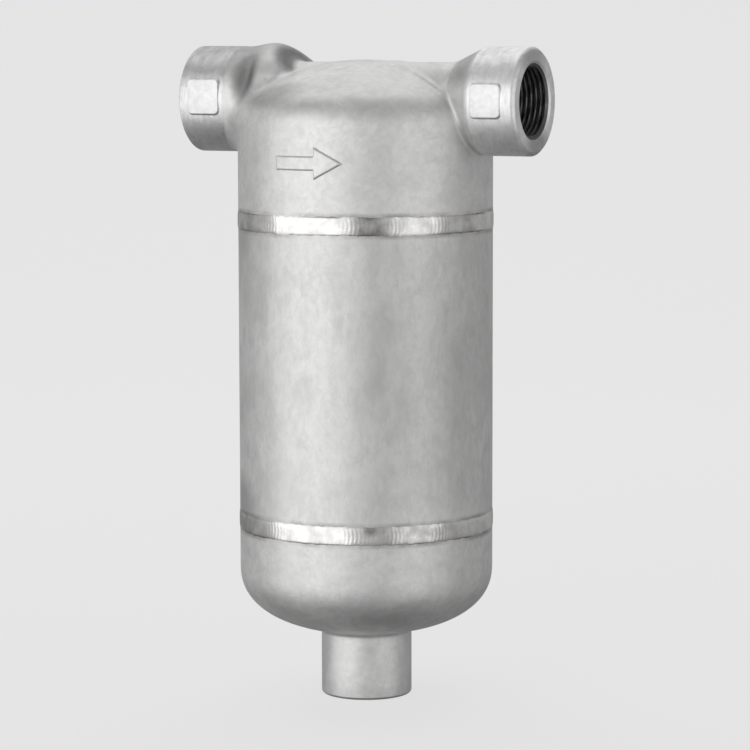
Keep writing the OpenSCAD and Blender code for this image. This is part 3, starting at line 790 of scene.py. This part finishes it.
def blasted_steel(name, light, dark, rough_low, rough_high, depth=0.00004, weld_heights=(),
                  pockets=(), stretch=None):
    """Pickled and blasted stainless steel: cloudy colour, mottling, fine pitting, stains by the
    welds, and darker patches round given points, most of them painted shade.
    """
    n = Nodes(name)
    grain = 900.0
    clouds = n.noise(38.0, 5.0, 0.6, stretch)
    patches = n.noise(110.0, 4.0, 0.65, stretch, 0.6)
    mottle = n.noise(330.0, 3.0, 0.6, stretch, 0.4)
    speckle = n.noise(grain, 2.0, 0.5)
    colour = n.blend(n.ramp(clouds, 0.35, 0.65), dark, light)
    colour = n.blend(n.ramp(patches, 0.46, 0.70, 0.0, 0.55), colour,
                     tuple(0.80 * c for c in dark))
    colour = n.blend(n.ramp(mottle, 0.42, 0.68, 0.0, 0.50), colour,
                     tuple(0.88 * c for c in dark))
    for weld_z in weld_heights:
        away = n.maths("ABSOLUTE", n.maths("SUBTRACT", n.height(), weld_z * MM), 0.0)
        stain = n.maths("MULTIPLY", n.ramp(away, (WELD_W / 2 + 1.6) * MM, WELD_W / 2 * MM),
                        n.ramp(clouds, 0.42, 0.6, 0.1, 0.8))
        colour = n.blend(stain, colour, tuple(0.5 * c for c in dark))
    # darker patches round given points, most of them painted shade
    for centre, reach, strength, facing in pockets:
        colour = n.blend(n.pocket(centre, reach, strength, facing), colour, grey(0.10))
    rough = n.maths("ADD", n.ramp(clouds, 0.3, 0.7, rough_low, rough_high),
                    n.ramp(speckle, 0.3, 0.7, -0.04, 0.04))
    pits = n.noise(grain * 1.6, 2.0, 0.6)
    waves = n.noise(60.0, 3.0, 0.5)
    normal = n.bump(pits, depth, 0.4)
    normal = n.bump(speckle, depth * 1.6, 0.3, normal)
    normal = n.bump(mottle, 0.00012, 0.3, normal)
    normal = n.bump(patches, 0.0003, 0.35, normal)
    normal = n.bump(waves, 0.0005, 0.45, normal)
    return n.finish(colour, rough, normal)


def turned_steel(name, light, dark, rough_low, rough_high, axis, wear=1.0, pockets=()):
    """Machined steel: rings round the axis it was turned on, smears and handling marks, and darker
    patches round given points, some of them painted shade.
    """
    n = Nodes(name)
    stretch = {"x": (1.0, 0.03, 0.03), "z": (0.03, 0.03, 1.0), "flat": (1.0, 0.06, 1.0)}[axis]
    broad = {"x": (1.0, 0.22, 0.22), "z": (0.22, 0.22, 1.0), "flat": (1.0, 1.0, 1.0)}[axis]
    lines = n.noise(2600.0, 2.0, 0.6, stretch)
    bands = n.noise(420.0, 3.0, 0.6, broad, 0.3)
    smears = n.noise(170.0, 4.0, 0.65, None, 0.8)
    clouds = n.noise(70.0, 4.0, 0.6)
    colour = n.blend(n.ramp(clouds, 0.35, 0.65), dark, light)
    colour = n.blend(n.ramp(bands, 0.42, 0.70, 0.0, 0.55 * wear), colour,
                     tuple(0.72 * c for c in dark))
    colour = n.blend(n.ramp(smears, 0.48, 0.70, 0.0, 0.60 * wear), colour,
                     tuple(0.68 * c for c in dark))
    # darker patches round given points; on top of the inlet socket they are painted shade
    for centre, reach, strength, facing in pockets:
        colour = n.blend(n.pocket(centre, reach, strength, facing), colour, grey(0.12))
    rough = n.maths("ADD", n.ramp(lines, 0.3, 0.7, rough_low, rough_high),
                    n.ramp(bands, 0.35, 0.65, -0.05, 0.05))
    normal = n.bump(lines, 0.00003, 0.5)
    normal = n.bump(bands, 0.0001, 0.5 * wear, normal)
    normal = n.bump(smears, 0.0003, 0.35 * wear, normal)
    return n.finish(colour, rough, normal)


def weld_steel(name, weld_z, toes, weld_patches):
    """Bright weld metal.

    toes: how dark its lower and its upper edge are; tints: darker places
    (azimuth, height over the middle of the weld, reach, strength); the lower weld's one at 52 degrees
    is painted shade."""
    n = Nodes(name)
    patches = n.noise(140.0, 4.0, 0.6)
    fine = n.noise(1500.0, 2.0, 0.6)
    colour = n.blend(n.ramp(patches, 0.4, 0.7), grey(0.86, 0.01), grey(0.62, 0.02))
    above = n.maths("SUBTRACT", n.height(), weld_z * MM)
    broken = n.noise(45.0, 3.0, 0.6)
    for side, strength in zip((-1, 1), toes):
        edge = n.ramp(n.maths("MULTIPLY", above, side), (WELD_W / 2 - 1.3) * MM,
                      (WELD_W / 2 - 0.5) * MM, 0.0, strength)
        toe = n.maths("MULTIPLY", edge, n.ramp(broken, 0.44, 0.56, 0.08, 1.0))
        colour = n.blend(toe, colour, grey(0.14, 0.05))
    # darker patches round given points; the lower weld's at 52 degrees is painted shade over the fill
    # light's highlight
    for azimuth, up, reach, strength in weld_patches:
        a = math.radians(azimuth)
        centre = (BODY_R * math.sin(a), -BODY_R * math.cos(a), weld_z + up)
        spot = n.maths("MULTIPLY", n.pocket(centre, (reach, reach, reach), strength),
                       n.ramp(patches, 0.35, 0.6, 0.6, 1.0))
        colour = n.blend(spot, colour, grey(0.20, 0.02))
    rough = n.ramp(patches, 0.3, 0.7, 0.16, 0.32)
    normal = n.bump(fine, 0.00002, 0.4)
    normal = n.bump(patches, 0.0002, 0.25, normal)
    return n.finish(colour, rough, normal)


def plain_steel(name, light, dark, rough_low, rough_high):
    """Sheet, bar or wire inside the vessel: drawn lines and handling marks."""
    n = Nodes(name)
    lines = n.noise(1200.0, 2.0, 0.6, (1.0, 1.0, 0.1))
    clouds = n.noise(90.0, 4.0, 0.6)
    colour = n.blend(n.ramp(clouds, 0.35, 0.65), dark, light)
    rough = n.ramp(lines, 0.3, 0.7, rough_low, rough_high)
    normal = n.bump(lines, 0.00002, 0.4)
    return n.finish(colour, rough, normal)


def gasket_material(name):
    """Matt graphite-faced gasket."""
    n = Nodes(name)
    flakes = n.noise(1400.0, 3.0, 0.6)
    colour = n.blend(n.ramp(flakes, 0.35, 0.7), grey(0.05), grey(0.11))
    n.finish(colour, n.ramp(flakes, 0.3, 0.7, 0.55, 0.8), n.bump(flakes, 0.00003, 0.5))
    n.shader.inputs["Metallic"].default_value = 0.0
    return n.material


def floor_material(name):
    """Seamless pale paper."""
    material = bpy.data.materials.new(name)
    material.use_nodes = True
    shader = material.node_tree.nodes["Principled BSDF"]
    shader.inputs["Base Color"].default_value = (0.16, 0.16, 0.16, 1.0)
    shader.inputs["Roughness"].default_value = 0.9
    shader.inputs["Specular IOR Level"].default_value = 0.1
    shader.inputs["Emission Color"].default_value = (1.0, 1.0, 1.0, 1.0)
    shader.inputs["Emission Strength"].default_value = 0.655
    return material


# ---------------------------------------------------------------- the object
# painted shade on the chest's end wall, in the hollows beside the chest, on its top and on the top of
# the outlet cone: centre, reach, strength, direction their faces look in
PAINTED_RECESS_SHADE = [((-34, -2, PIPE_Z + 17), (14, 28, 20), 0.75, (1, 0, 0)),
            ((-27, -42, PIPE_Z + 3), (26, 16, 8), 0.42, None),
            ((-27, 42, PIPE_Z + 3), (26, 16, 8), 0.42, None),
            ((-58, 0, PIPE_Z + 22), (26, 26, 16), 0.42, (0, 0, 1)),
            ((-NECK_X, -20, PIPE_Z + 10), (8, 11, 16), 0.55, (0, -1, 0)),
            ((-NECK_X, 20, PIPE_Z + 10), (8, 11, 16), 0.55, (0, 1, 0)),
            ((54, -12, PIPE_Z + 19), (10, 16, 18), 0.60, (-1, 0, 0)),
            ((54, 12, PIPE_Z + 19), (10, 16, 18), 0.60, (-1, 0, 0))]
head_cast = blasted_steel("head_steel_blasted", grey(0.83, 0.005), grey(0.75, 0.005), 0.46, 0.58,
                          weld_heights=(UPPER_WELD_Z,), pockets=PAINTED_RECESS_SHADE)
cap_cast = blasted_steel("cap_steel_blasted", grey(0.80, 0.005), grey(0.72, 0.005), 0.46, 0.58,
                         weld_heights=(LOWER_WELD_Z,))
# darker patches on the tube: two by the welds on the left, and a broad one that is painted shade over
# the fill light's highlight on the right
TUBE_DARK_PATCHES = [((-44, -38, LOWER_WELD_Z + 9), (20, 20, 16), 0.35, None),
               ((-44, -38, UPPER_WELD_Z - 6), (18, 18, 12), 0.20, None),
               ((45, -35, TUBE_MID_Z), (34, 34, 90), 0.15, None)]
tube = blasted_steel("tube_steel_satin", grey(0.79, 0.005), grey(0.71, 0.005), 0.45, 0.57,
                     depth=0.00003, weld_heights=(UPPER_WELD_Z, LOWER_WELD_Z),
                     pockets=TUBE_DARK_PATCHES, stretch=(1.0, 1.0, 0.6))

# painted shade on top of the inlet socket, where it faces up; darker patches over and under the
# outlet's mouth
INLET_TOP_SHADE = [((-72, 0, PIPE_Z + 22), (26, 26, 17), 0.42, (0, 0, 1))]
OUTLET_MOUTH_PATCHES = [((END_X, -2, PIPE_Z + 20), (4, 17, 9), 0.34, (1, 0, 0)),
                 ((END_X, 2, PIPE_Z - 18.5), (4, 16, 8), 0.52, (1, 0, 0))]
# the outlet's steel is lighter and less worn than the inlet's: painted light, for its broader
# highlight
socket_steel = {-1: turned_steel("inlet_socket_steel", grey(0.88), grey(0.78), 0.38, 0.50, "x",
                                 pockets=INLET_TOP_SHADE),
                1: turned_steel("outlet_socket_steel", grey(0.96), grey(0.88), 0.42, 0.54, "x",
                                wear=0.8, pockets=OUTLET_MOUTH_PATCHES)}
drain_steel = turned_steel("drain_steel_turned", grey(0.72), grey(0.64), 0.34, 0.46, "z")
pad_steel = turned_steel("pad_steel_ground", grey(0.76), grey(0.70), 0.30, 0.42, "flat", wear=0.3)
pad_flank = turned_steel("pad_steel_flank", grey(0.84), grey(0.74), 0.45, 0.6, "flat")
# the threads are far darker than cut steel: painted shade for the inside of the bores
thread_steel = turned_steel("thread_steel_cut", grey(0.20), grey(0.13), 0.34, 0.48, "x")
inner = plain_steel("inner_steel_sheet", grey(0.62), grey(0.52), 0.28, 0.42)
valve = plain_steel("valve_steel_ground", grey(0.56), grey(0.47), 0.18, 0.30)
ball = plain_steel("float_steel_polished", grey(0.78), grey(0.72), 0.10, 0.20)
gasket = gasket_material("gasket_graphite")

head_parts = [head_body(head_cast)]
for side in (-1, 1):
    head_parts.append(socket(side, socket_steel[side], thread_steel))
    for face in (-1, 1):
        head_parts.append(pad(side, face, pad_steel, pad_flank))
for face in (-1, 1):
    head_parts.append(cast_mark(face, arrow_corners(), ARROW_Z, ARROW_L / 2 + 2,
                                ARROW_H / 2 + 2, head_cast))
head = join(head_parts, "head_casting_finished")
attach(head, "housing")
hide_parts("head_casting")

cap = bottom_cap(cap_cast, drain_steel, thread_steel)
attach(cap, "housing")
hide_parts("bottom_cap")

# node, height, seed of its unevenness, darkness of its lower and upper toe, darker patches, of which
# the lower weld's at 52 degrees is painted shade
WELDS = [("upper_weld", UPPER_WELD_Z, 11, (0.95, 0.95),
          [(28, 0, 10, 0.85), (-52, 0, 30, 0.60), (72, 0, 18, 0.30), (150, 0, 20, 0.40)]),
         ("lower_weld", LOWER_WELD_Z, 23, (0.95, 0.20),
          [(-50, 0, 30, 0.60), (28, 3.5, 4, 0.75), (33, 3.5, 3, 0.45), (52, 0, 28, 0.36),
           (130, 0, 20, 0.40)])]
for node, weld_z, seed, toes, weld_patches in WELDS:
    metal = weld_steel(node + "_metal", weld_z, toes, weld_patches)
    bead = weld_bead(node + "_bead", weld_z, seed, metal)
    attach(bead, "housing")
    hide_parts(node)

by_slot = {"tube_steel": tube, "inner_steel": inner, "valve_steel": valve,
           "float_steel": ball, "gasket": gasket}
for entry in frame["record"]["subparts"]:
    if entry["material_slot"] in by_slot:
        slots = frame["nodes"][entry["node"]].material_slots
        for index in range(len(slots)):
            slots[index].material = by_slot[entry["material_slot"]]


# ---------------------------------------------------------------- floor, lights, camera
# Metres and degrees here. An azimuth is counted from the front (-Y) towards +X.
CAMERA_AZIMUTH = 26.0
CAMERA_ELEVATION = 6.5
CAMERA_DISTANCE = 1.4
CAMERA_LENS = 148.8
CAMERA_ROLL = -0.12
AIM_Z = 0.14524
AIM_RIGHT = 0.00405
LIGHT_AIM = Vector((0, 0, 0.15))
# brightness of the room, from straight down (0) to straight up (1); the first two are the ends
ROOM_LEVELS = [(0.0, 0.16), (1.0, 0.34), (0.30, 0.30), (0.5, 0.50), (0.64, 0.46), (0.85, 0.30)]
# azimuth of the room's lighter side, and how much lighter it is there
ROOM_LIGHT_SIDE = 5.0
ROOM_SIDE_SHARE = 0.25


def direction(azimuth, elevation):
    """Unit vector from the middle towards an azimuth and elevation."""
    a, e = math.radians(azimuth), math.radians(elevation)
    return Vector((math.sin(a) * math.cos(e), -math.cos(a) * math.cos(e), math.sin(e)))


def backdrop():
    """Pale floor that rises in a smooth curve behind the object."""
    depth_front, depth_back, width, height, bend = -14.0, 2.2, 14.0, 4.0, 1.2
    profile = [(depth_front, 0.0), (depth_back - bend, 0.0)]
    for step in range(1, 17):
        a = math.radians(90 * step / 16)
        profile.append((depth_back - bend + bend * math.sin(a), bend - bend * math.cos(a)))
    profile.append((depth_back, height))
    turn = math.radians(CAMERA_AZIMUTH)
    verts, faces = [], []
    for y, z in profile:
        for x in (-width, width):
            verts.append((x * math.cos(turn) - y * math.sin(turn),
                          x * math.sin(turn) + y * math.cos(turn), z))
    for i in range(len(profile) - 1):
        faces.append((2 * i, 2 * i + 1, 2 * i + 3, 2 * i + 2))
    mesh = bpy.data.meshes.new("backdrop")
    mesh.from_pydata(verts, [], faces)
    mesh.shade_smooth()
    mesh.materials.append(floor_material("paper"))
    obj = bpy.data.objects.new("backdrop", mesh)
    obj.visible_glossy = False
    obj.visible_shadow = False
    bpy.context.scene.collection.objects.link(obj)


def area_light(name, azimuth, elevation, distance, width, height, power):
    """A soft box that looks at the middle of the object."""
    place = LIGHT_AIM + distance * direction(azimuth, elevation)
    data = bpy.data.lights.new(name, "AREA")
    data.shape = "RECTANGLE"
    data.size = width
    data.size_y = height
    data.energy = power
    light = bpy.data.objects.new(name, data)
    light.location = place
    light.rotation_euler = (LIGHT_AIM - place).to_track_quat("-Z", "Y").to_euler()
    light.visible_camera = False
    bpy.context.scene.collection.objects.link(light)


def studio_world():
    """Grey room: lightest at the horizon and on the camera's side, darkest below."""
    world = bpy.data.worlds.new("studio")
    world.use_nodes = True
    tree = world.node_tree
    nodes, links = tree.nodes, tree.links
    place = nodes.new("ShaderNodeTexCoord").outputs["Generated"]

    split = nodes.new("ShaderNodeSeparateXYZ")
    links.new(place, split.inputs[0])
    shift = nodes.new("ShaderNodeMapRange")
    shift.inputs["From Min"].default_value = -1.0
    links.new(split.outputs["Z"], shift.inputs["Value"])
    ramp = nodes.new("ShaderNodeValToRGB")
    ramp.color_ramp.interpolation = "EASE"
    links.new(shift.outputs["Result"], ramp.inputs["Fac"])
    stops = ramp.color_ramp.elements
    for index, (position, level) in enumerate(ROOM_LEVELS):
        stop = stops[index] if index < 2 else stops.new(position)
        stop.position = position
        stop.color = (level, level, level, 1)

    toward = nodes.new("ShaderNodeVectorMath")
    toward.operation = "DOT_PRODUCT"
    toward.inputs[1].default_value = direction(ROOM_LIGHT_SIDE, 0)
    links.new(place, toward.inputs[0])
    side = nodes.new("ShaderNodeMapRange")
    side.inputs["From Min"].default_value = -1.0
    side.inputs["To Min"].default_value = 1.0 - ROOM_SIDE_SHARE
    side.inputs["To Max"].default_value = 1.0 + ROOM_SIDE_SHARE
    links.new(toward.outputs["Value"], side.inputs["Value"])

    background = tree.nodes["Background"]
    links.new(ramp.outputs["Color"], background.inputs["Color"])
    links.new(side.outputs["Result"], background.inputs["Strength"])
    bpy.context.scene.world = world


def camera():
    """The photograph's view: aimed a little to the right of the axis, hardly rolled."""
    right = direction(CAMERA_AZIMUTH + 90, 0)
    target = Vector((0, 0, AIM_Z)) + AIM_RIGHT * right
    place = target + CAMERA_DISTANCE * direction(CAMERA_AZIMUTH, CAMERA_ELEVATION)
    data = bpy.data.cameras.new("camera")
    data.lens = CAMERA_LENS
    data.sensor_width = 36.0
    obj = bpy.data.objects.new("camera", data)
    obj.location = place
    aim = (target - place).to_track_quat("-Z", "Y")
    obj.rotation_euler = (aim @ Quaternion((0, 0, 1), math.radians(CAMERA_ROLL))).to_euler()
    bpy.context.scene.collection.objects.link(obj)
    bpy.context.scene.camera = obj


camera()
backdrop()

area_light("key", -25, 2, 1.6, 2.5, 2.3, 14.2)
area_light("fill", 74, 2, 1.6, 1.2, 2.0, 4.2)
area_light("back", 206, 57, 1.5, 2.0, 1.9, 8.5)
studio_world()
bpy.context.scene.view_settings.view_transform = "Standard"
